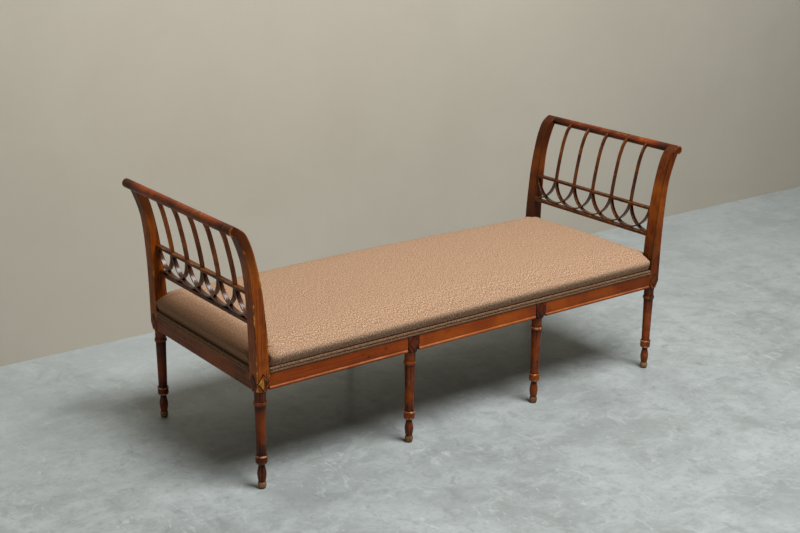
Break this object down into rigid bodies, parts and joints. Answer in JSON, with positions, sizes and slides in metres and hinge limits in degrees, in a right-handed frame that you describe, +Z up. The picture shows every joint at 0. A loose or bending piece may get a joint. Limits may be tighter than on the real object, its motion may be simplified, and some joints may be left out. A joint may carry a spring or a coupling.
{
  "type": "recamier",
  "caption": "Backless daybed settee with two outscrolled open-arcade ends, turned legs, beaded seat rails and a domed cloth seat edged with double cord.",
  "frame": {"origin": "centre of the footprint, on the floor", "axes": "+X along the seat towards the right end as seen from the front, +Y towards the rear, +Z up"},
  "size_m": [1.99, 0.737, 0.9],
  "materials": {
    "frame_wood": "worn satin, red-brown stained",
    "rail_wood": "worn satin, red-brown stained",
    "leg_wood": "worn satin, red-brown stained",
    "panel_wood": "worn satin, dark brown stained",
    "crest_wood": "polished by hands, red-brown stained",
    "inner_wood": "bare, matt",
    "seat_cloth": "heathered wool weave",
    "cord_cloth": "cloth-covered cord",
    "webbing_cloth": "plain woven"
  },
  "bodies": {
    "root": {"post_front_left": "frame_wood", "post_front_right": "frame_wood", "post_rear_left": "frame_wood", "post_rear_right": "frame_wood", "leg_front_left": "leg_wood", "leg_front_right": "leg_wood", "leg_rear_left": "leg_wood", "leg_rear_right": "leg_wood", "leg_front_left_middle": "leg_wood", "leg_front_right_middle": "leg_wood", "leg_rear_middle": "leg_wood", "leg_block_front_left": "leg_wood", "leg_block_front_right": "leg_wood", "leg_block_rear": "leg_wood", "rail_front_left": "rail_wood", "rail_front_centre": "rail_wood", "rail_front_right": "rail_wood", "rail_rear_left": "rail_wood", "rail_rear_right": "rail_wood", "rail_end_left": "rail_wood", "rail_end_right": "rail_wood", "stretcher_left": "inner_wood", "stretcher_right": "inner_wood", "crest_rail_left": "crest_wood", "crest_rail_right": "crest_wood", "panel_middle_rail_left": "panel_wood", "panel_middle_rail_right": "panel_wood", "panel_lower_rail_left": "panel_wood", "panel_lower_rail_right": "panel_wood", "panel_bar_left_1": "panel_wood", "panel_bar_left_2": "panel_wood", "panel_bar_left_3": "panel_wood", "panel_bar_left_4": "panel_wood", "panel_bar_left_5": "panel_wood", "panel_bar_right_1": "panel_wood", "panel_bar_right_2": "panel_wood", "panel_bar_right_3": "panel_wood", "panel_bar_right_4": "panel_wood", "panel_bar_right_5": "panel_wood", "panel_arc_left_1": "panel_wood", "panel_arc_left_2": "panel_wood", "panel_arc_left_3": "panel_wood", "panel_arc_left_4": "panel_wood", "panel_arc_left_5": "panel_wood", "panel_arc_left_6": "panel_wood", "panel_arc_left_7": "panel_wood", "panel_arc_right_1": "panel_wood", "panel_arc_right_2": "panel_wood", "panel_arc_right_3": "panel_wood", "panel_arc_right_4": "panel_wood", "panel_arc_right_5": "panel_wood", "panel_arc_right_6": "panel_wood", "panel_arc_right_7": "panel_wood", "seat_webbing": "webbing_cloth", "seat_pad": "seat_cloth", "cord_edging_front": "cord_cloth", "cord_edging_right": "cord_cloth", "cord_edging_rear": "cord_cloth", "cord_edging_left": "cord_cloth"}
  },
  "joints": []
}
